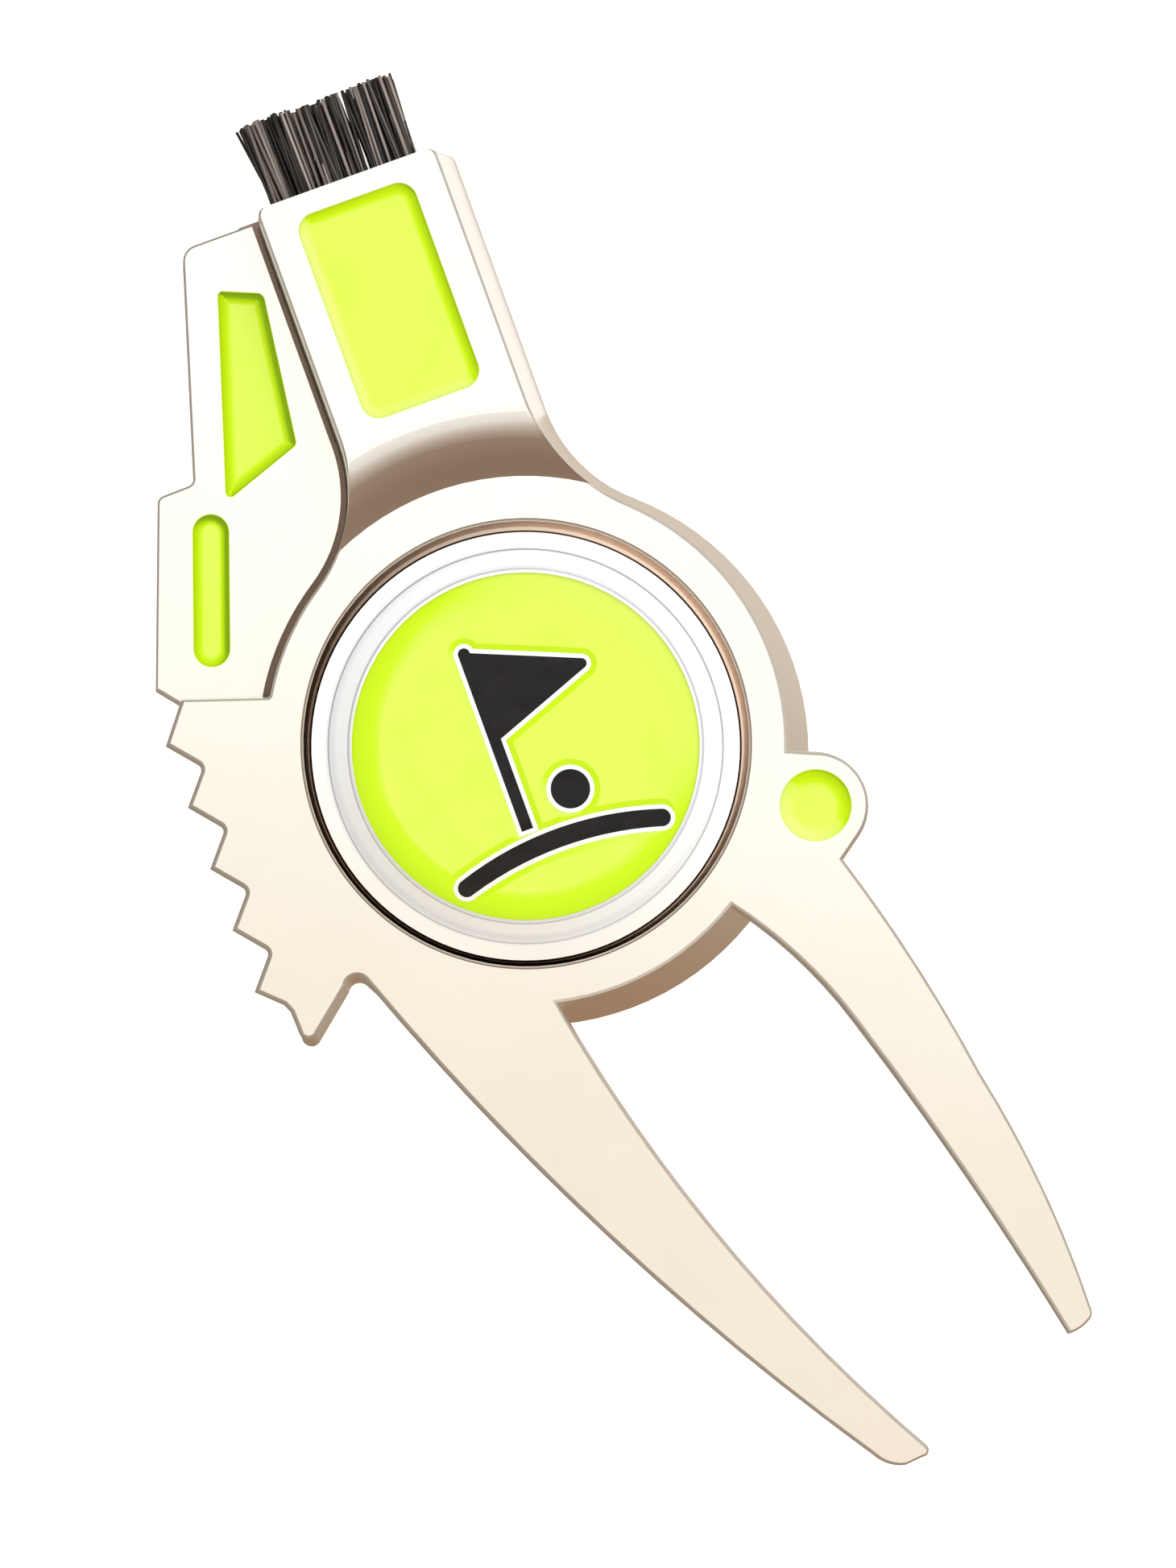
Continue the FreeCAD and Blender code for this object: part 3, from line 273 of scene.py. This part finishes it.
def polished_nickel():
    """The marker's struck blank: bright, with the slight waviness of a polished stamping. Painted shade lies
    in faint violet rings at the step in its rim and at the enamel's border, and in a duller grey inner rim,
    stronger on the left."""
    s = Shader("polished_nickel")
    s.set(Metallic=1.0)
    bright = s.ramp(s.noise(160.0, 2.0), [(0.3, (0.90, 0.90, 0.915)), (0.7, (0.94, 0.94, 0.95))])
    reach = s.from_axis()
    # Painted shade, stronger towards the lower left.
    lower_left_shade = s.spread(s.along(-0.3 * IMAGE_UP - 0.95 * IMAGE_RIGHT), 0.3, 0.9, -9.0 * MM, 11.0 * MM)
    inner_shade_grey = (0.70, 0.70, 0.71)
    violet_grey = (0.62, 0.62, 0.68)
    edge_painted_shade = (0.06, 0.04, 0.03)
    # Painted shade: faint violet rings at the rim's step and at the enamel's border, and a duller grey inner
    # rim.
    step = s.math("MULTIPLY", s.ridge(reach, RIM_STEP_R, 0.42 * MM), lower_left_shade)
    border = s.math("MULTIPLY", s.ridge(reach, RIM_BORDER_R, 0.22 * MM), 0.7)
    ring_shade = s.math("MAXIMUM", step, border)
    inner = s.math("MULTIPLY", s.inside(reach, RIM_INNER_R, RIM_OUTER_R), s.math("SUBTRACT", lower_left_shade, 0.3))
    inner_shaded = s.blend(s.math("MULTIPLY", inner, 1.4), bright, inner_shade_grey)
    rim_shaded = s.blend(ring_shade, inner_shaded, violet_grey)
    # Painted shade: the bevel of the marker's edge is painted dark brown, where the gap beside it is dark.
    bevelled = s.inside(s.tilt((0, 0, 1)), 0.4, 0.95)
    edge = s.math("MULTIPLY", bevelled, s.inside(reach, MARKER_EDGE_R, MARKER_PAST_R))
    s.link(s.blend(edge, rim_shaded, edge_painted_shade), s.bsdf.inputs["Base Color"])
    s.link(s.spread(s.noise(2500.0, 3.0), 0.16, 0.26), s.bsdf.inputs["Roughness"])
    s.link(s.bump(s.noise(450.0, 2.0), 0.00002, 0.25), s.bsdf.inputs["Normal"])
    return s.material


def green_enamel(name, shade_towards, slope_shade):
    """Soft enamel, a little clouded. Painted shade and light: its colour is painted deep on slopes that face
    one way and pale on those that face the other, and the last argument sets how much painted shade any slope
    gets."""
    s = Shader(name)
    s.set(Roughness=0.22, Coat_Weight=0.08, Coat_Roughness=0.08, IOR=1.45, Specular_IOR_Level=0.18)
    upright = s.tilt((0, 0, 1))
    level = s.math("MINIMUM", s.math("MULTIPLY", upright, upright), 1.0)
    slope = s.math("SQRT", s.math("SUBTRACT", 1.0, level), 0.0)
    # Painted shade and light: deep on slopes facing one way, pale on those facing the other, and deeper on
    # any slope.
    facing = s.spread(s.tilt(shade_towards), 0.0, 1.0, -0.667, 1.0)
    depth = s.math("ADD", facing, s.math("MULTIPLY", slope, slope_shade))
    cloudy = s.math("ADD", depth, s.spread(s.noise(260.0, 3.0, 0.6), -0.022, 0.022))
    pale_to_deep = [(0.13, (0.67, 0.78, 0.215)), (0.34, (0.61, 0.80, 0.118)), (0.40, (0.585, 0.80, 0.088)),
                    (0.45, (0.49, 0.76, 0.002)), (0.58, (0.46, 0.70, 0.0)), (0.76, (0.37, 0.62, 0.0)),
                    (0.95, (0.20, 0.37, 0.0))]
    s.link(s.ramp(cloudy, pale_to_deep), s.bsdf.inputs["Base Color"])
    s.link(s.bump(s.noise(700.0, 2.0), 0.00003, 0.12), s.bsdf.inputs["Normal"])
    return s.material


def black_enamel():
    """Soft enamel, almost black, with a slightly uneven skin."""
    s = Shader("black_enamel")
    s.set(Coat_Weight=0.08, Coat_Roughness=0.06, Specular_IOR_Level=0.2)
    s.link(s.ramp(s.noise(900.0, 3.0), [(0.3, (0.002, 0.002, 0.002)), (0.7, (0.008, 0.005, 0.006))]),
           s.bsdf.inputs["Base Color"])
    s.link(s.spread(s.noise(1500.0), 0.12, 0.30), s.bsdf.inputs["Roughness"])
    s.link(s.bump(s.noise(620.0, 1.0), 0.00012, 1.0), s.bsdf.inputs["Normal"])
    return s.material


def black_nylon():
    """Moulded nylon with a spark-eroded texture."""
    s = Shader("black_nylon")
    s.link(s.ramp(s.noise(500.0, 3.0), [(0.3, (0.012, 0.012, 0.013)), (0.7, (0.03, 0.03, 0.032))]),
           s.bsdf.inputs["Base Color"])
    s.link(s.spread(s.noise(3000.0), 0.48, 0.66), s.bsdf.inputs["Roughness"])
    s.link(s.bump(s.noise(9000.0, 3.0, 0.7), 0.00002, 0.6), s.bsdf.inputs["Normal"])
    return s.material


def bristle_nylon():
    """Black, grey and brown strands, each its own shade, with fine rings along them."""
    s = Shader("bristle_nylon")
    geometry = s.node("ShaderNodeNewGeometry")
    shade = geometry.outputs["Random Per Island"]
    s.link(s.ramp(shade, [(0.0, (0.003, 0.002, 0.002)), (0.45, (0.010, 0.008, 0.008)),
                          (0.62, (0.05, 0.040, 0.038)), (0.80, (0.16, 0.135, 0.13)),
                          (1.0, (0.36, 0.32, 0.30))]), s.bsdf.inputs["Base Color"])
    rings = s.noise(1.0, 2.0, 0.6, s.scaled(1500.0, 7000.0, 1500.0))
    s.link(s.spread(rings, 0.22, 0.5), s.bsdf.inputs["Roughness"])
    s.link(s.bump(rings, 0.00003, 0.7), s.bsdf.inputs["Normal"])
    return s.material


def paper_floor():
    """White paper on a light table: its own glow leaves only the faintest shadow."""
    s = Shader("paper_floor")
    s.set(Roughness=0.9, Emission_Strength=0.6)
    s.set(Emission_Color=(1.0, 1.0, 1.0, 1.0))
    s.link(s.ramp(s.noise(40.0, 4.0), [(0.3, (0.90, 0.90, 0.90)), (0.7, (0.93, 0.93, 0.93))]),
           s.bsdf.inputs["Base Color"])
    return s.material


def dress(names, material):
    for name in names:
        slots = nodes[name].data.materials
        slots.clear()
        slots.append(material)


# ---------------------------------------------------------------- brush

def strand(mesh, foot, tip, sag, radius, sides=6, rings=5):
    """One bristle: a thin bent tube with a cut end."""
    loops = []
    for ring in range(rings + 1):
        along = ring / rings
        centre = foot.lerp(tip, along) + sag * math.sin(math.pi * 0.5 * along) * along
        loop = []
        for side in range(sides):
            angle = 2 * math.pi * side / sides
            out = Vector((radius * math.cos(angle), 0, radius * math.sin(angle)))
            loop.append(mesh.verts.new(centre + out))
        loops.append(loop)
    for low, high in zip(loops, loops[1:]):
        for side in range(sides):
            after = (side + 1) % sides
            mesh.faces.new((low[side], high[side], high[after], low[after]))
    mesh.faces.new(loops[0])
    mesh.faces.new(list(reversed(loops[-1])))


def bristles(material):
    """Twelve tufts of coarse bristles in two rows. Each tuft leans its own way and is cut not quite level."""
    seed = 11
    columns = 6
    rows = 2
    per_tuft = 30
    tuft_radius = 0.76 * MM
    tip_share = 0.86
    foot_depth = 0.4 * MM
    chance = random.Random(seed)
    low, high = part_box("bristle_tufts")
    foot_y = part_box("brush_carriage")[1].y - foot_depth
    mesh = bmesh.new()
    for row in range(rows):
        for column in range(columns):
            across = (column + 0.5) / columns
            up = (row + 0.5) / rows
            centre_x = low.x + across * (high.x - low.x)
            centre_z = low.z + up * (high.z - low.z)
            lean = Vector((chance.gauss(0.0, 0.17) + 0.30 * (across - 0.5), 0, chance.gauss(0.0, 0.1))) * MM
            level = chance.uniform(-0.06, 0.22) * MM
            for _count in range(per_tuft):
                angle = chance.uniform(0, 2 * math.pi)
                reach = tuft_radius * math.sqrt(chance.random())
                offset = Vector((math.cos(angle) * reach, 0, math.sin(angle) * reach))
                foot = Vector((centre_x, foot_y, centre_z)) + offset
                wander = Vector((chance.gauss(0, 0.17), 0, chance.gauss(0, 0.13))) * MM
                tip = Vector((centre_x, high.y, centre_z)) + tip_share * offset + lean + wander
                tip.y += level + chance.uniform(-0.16, 0.10) * MM
                sag = Vector((chance.gauss(0, 0.07), 0, chance.gauss(0, 0.06))) * MM
                strand(mesh, foot, tip, sag, chance.uniform(0.085, 0.115) * MM)
    data = bpy.data.meshes.new("bristles")
    mesh.to_mesh(data)
    mesh.free()
    data.shade_smooth()
    data.materials.append(material)
    piece = bpy.data.objects.new("bristles", data)
    bpy.context.scene.collection.objects.link(piece)
    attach(piece, "brush")
    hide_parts("bristle_tufts")
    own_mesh(piece)


# ---------------------------------------------------------------- surroundings

def floor():
    """A paper sheet just under the tool's flat back. Metal doesn't mirror it."""
    half = 1.5
    z = -0.02 * MM
    corners = [(-half, -half, z), (half, -half, z), (half, half, z), (-half, half, z)]
    data = bpy.data.meshes.new("floor")
    data.from_pydata(corners, [], [(0, 1, 2, 3)])
    data.materials.append(paper_floor())
    piece = bpy.data.objects.new("floor", data)
    piece.visible_glossy = False
    bpy.context.scene.collection.objects.link(piece)


def studio():
    """The surround that metal mirrors: cream overhead, dim low down with a pale wall just above the table,
    and brown below the table's level, so that edges and walls are drawn in brown. The camera itself sees a
    plain pale backdrop."""
    world = bpy.data.worlds.new("studio")
    bpy.context.scene.world = world
    world.use_nodes = True
    tree = world.node_tree
    place = tree.nodes.new("ShaderNodeTexCoord").outputs["Generated"]

    def toward(direction):
        made = tree.nodes.new("ShaderNodeVectorMath")
        made.operation = "DOT_PRODUCT"
        tree.links.new(place, made.inputs[0])
        made.inputs[1].default_value = direction
        return made.outputs["Value"]

    def ramp(source, stops):
        made = tree.nodes.new("ShaderNodeValToRGB")
        points = made.color_ramp.elements
        while len(points) < len(stops):
            points.new(0.5)
        for point, (position, color) in zip(points, stops):
            point.position = position
            point.color = (*color, 1.0)
        tree.links.new(source, made.inputs["Fac"])
        return made.outputs["Color"]

    def remap(source, from_low, from_high, low=0.0, high=1.0):
        made = tree.nodes.new("ShaderNodeMapRange")
        made.inputs["From Min"].default_value = from_low
        made.inputs["From Max"].default_value = from_high
        made.inputs["To Min"].default_value = low
        made.inputs["To Max"].default_value = high
        tree.links.new(source, made.inputs["Value"])
        return made.outputs["Result"]

    def mix(share, first, second):
        made = tree.nodes.new("ShaderNodeMix")
        made.data_type = "RGBA"
        tree.links.new(share, made.inputs[0])
        tree.links.new(first, made.inputs[6])
        tree.links.new(second, made.inputs[7])
        return made.outputs[2]

    above = toward((0, 0, 1))
    height = remap(above, -1.0, 1.0)
    near = remap(toward(-IMAGE_UP), -1.0, 1.0)
    # Below the table's level: what the spreading walls see, from the far side round to the near side.
    below = ramp(remap(toward(-0.92 * IMAGE_UP - 0.39 * IMAGE_RIGHT), -0.5, 0.5),
                 [(0.08, (0.80, 0.69, 0.59)), (0.24, (0.64, 0.54, 0.45)), (0.50, (0.46, 0.36, 0.27)),
                  (0.80, (0.36, 0.22, 0.135))])
    left = remap(toward(-IMAGE_RIGHT), -0.02, 0.16)
    below = mix(left, below, ramp(left, [(0.0, (0.34, 0.29, 0.225)), (1.0, (0.29, 0.25, 0.195))]))
    # Overhead, from the far side round to the near side.
    over = ramp(near, [(0.49, (1.05, 0.97, 0.82)), (0.56, (0.96, 0.86, 0.75)), (0.68, (1.0, 0.88, 0.78)),
                       (0.90, (0.813, 0.667, 0.571))])
    # The dim room low down, and the dusk between it and what is overhead.
    room = ramp(near, [(0.0, (0.30, 0.27, 0.24)), (0.5, (0.22, 0.18, 0.15)), (0.8, (0.26, 0.18, 0.13)),
                       (1.0, (0.22, 0.145, 0.10))])
    dusk = ramp(near, [(0.0, (0.42, 0.38, 0.34)), (0.5, (0.40, 0.34, 0.29)), (0.8, (0.694, 0.595, 0.515)),
                       (1.0, (0.593, 0.471, 0.383))])
    upper = mix(remap(height, 0.58, 0.62), room, mix(remap(height, 0.62, 0.86), dusk, over))
    # A pale wall a little above the table, which the front mirrors only in raking views.
    wall = ramp(height, [(0.540, (0.0, 0.0, 0.0)), (0.575, (1.0, 1.0, 1.0)), (0.635, (1.0, 1.0, 1.0)),
                         (0.675, (0.0, 0.0, 0.0))])
    pale = ramp(near, [(0.0, (0.90, 0.87, 0.82)), (1.0, (0.90, 0.84, 0.76))])
    whole = mix(remap(height, 0.40, 0.50), below, mix(wall, upper, pale))
    # What the camera sees directly is plain and pale.
    seen = tree.nodes.new("ShaderNodeLightPath").outputs["Is Camera Ray"]
    plain = ramp(above, [(0.0, (0.90, 0.90, 0.90)), (1.0, (0.97, 0.97, 0.97))])
    background = tree.nodes["Background"]
    background.inputs["Strength"].default_value = 1.0
    tree.links.new(mix(seen, whole, plain), background.inputs["Color"])


def aimed(obj, place, target):
    obj.location = place
    obj.rotation_euler = (place - target).to_track_quat("Z", "Y").to_euler()


def softbox(name, place, target, size, radiance, color, seen_in_metal, lights_paint, turn=0.0):
    """Square soft light. One that metal doesn't mirror only fills, and one that lights no paint is a card."""
    light = bpy.data.lights.new(name, "AREA")
    light.shape = "SQUARE"
    light.size = size
    light.energy = radiance * math.pi * size * size
    light.color = color
    obj = bpy.data.objects.new(name, light)
    obj.visible_camera = False
    obj.visible_glossy = seen_in_metal
    obj.visible_diffuse = lights_paint
    bpy.context.scene.collection.objects.link(obj)
    aimed(obj, place, target)
    obj.rotation_euler.rotate_axis("Z", turn)


def camera():
    """Straight down on the tool from half a metre, leaning two degrees to the lower left."""
    distance = 0.5
    lean = 0.035
    aim = Vector((2.56, -3.43, 6.6)) * MM
    sideways = -0.6 * IMAGE_RIGHT - 0.8 * IMAGE_UP
    place = aim + distance * (Vector((0, 0, 1)) + lean * sideways)
    data = bpy.data.cameras.new("camera")
    data.sensor_fit = "VERTICAL"
    data.sensor_height = 36.0
    covered = 90.9 * MM
    data.lens = data.sensor_height * distance / covered
    data.clip_start = 10 * MM
    obj = bpy.data.objects.new("camera", data)
    bpy.context.scene.collection.objects.link(obj)
    back = (place - aim).normalized()
    side = IMAGE_UP.cross(back).normalized()
    up = back.cross(side)
    matrix = obj.matrix_world.copy()
    for row in range(3):
        matrix[row][0] = side[row]
        matrix[row][1] = up[row]
        matrix[row][2] = back[row]
        matrix[row][3] = place[row]
    obj.matrix_world = matrix
    bpy.context.scene.camera = obj


# ---------------------------------------------------------------- assembly

dress(["fork_body", "side_arm"], satin_nickel())
dress(["back_cover"], satin_steel())
dress(["cover_screws", "arm_pivot_screw", "brush_button_screw"],
      turned_steel("screw_steel", (0.62, 0.62, 0.63), 0.3))
dress(["brush_detent_spring", "arm_spring_washer"], turned_steel("spring_steel", (0.42, 0.43, 0.47), 0.34))
dress(["marker_magnet"], turned_steel("magnet_plating", (0.72, 0.72, 0.74), 0.22))
dress(["tuft_staples", "arm_pivot_bush"], turned_steel("brass", (0.80, 0.61, 0.30), 0.3))
dress(["marker_blank"], polished_nickel())
# Painted shade: the enamel's colour is painted deep on slopes that face along or against this.
SHADE_SIDE = 0.76 * IMAGE_UP + 0.65 * IMAGE_RIGHT
dress(["neck_enamel", "boss_enamel"], green_enamel("green_enamel", -SHADE_SIDE, 0.0))
dress(["arm_long_enamel", "arm_slot_enamel"], green_enamel("arm_green", -0.7 * SHADE_SIDE, 0.65))
dress(["marker_green_enamel"], green_enamel("marker_green", SHADE_SIDE, 0.4))
dress(["marker_black_enamel"], black_enamel())
dress(["brush_carriage", "brush_button"], black_nylon())
bristles(bristle_nylon())

floor()
studio()
centre = Vector((0.002, -0.003, 0.004))
# A cool card over the far end, turned so that its edge falls across the ring.
brighter = 0.25 * IMAGE_RIGHT + 0.97 * IMAGE_UP
card = centre + Vector((0, 0, 0.10)) + 0.128 * brighter
card_turn = math.radians(-34.5)
softbox("card", card, card - Vector((0, 0, 1)), 0.26, 0.42, (0.47, 0.74, 1.0), True, False, card_turn)
# White paper beside the neck, as its right-hand wall mirrors it.
paper = Vector((18.2, 28.0, 0.1)) * MM
softbox("paper_glow", paper, paper + Vector((0, 0, 1)), 0.02, 0.55, (0.82, 0.93, 1.0), True, False)
# Soft light for the enamel, the bristles and the floor.
fill = centre + Vector((0, 0, 0.6)) + 0.10 * IMAGE_RIGHT + 0.12 * IMAGE_UP
softbox("fill", fill, centre, 0.7, 1.86, (1.0, 0.995, 0.98), False, True)
camera()
bpy.context.scene.view_settings.view_transform = "Standard"
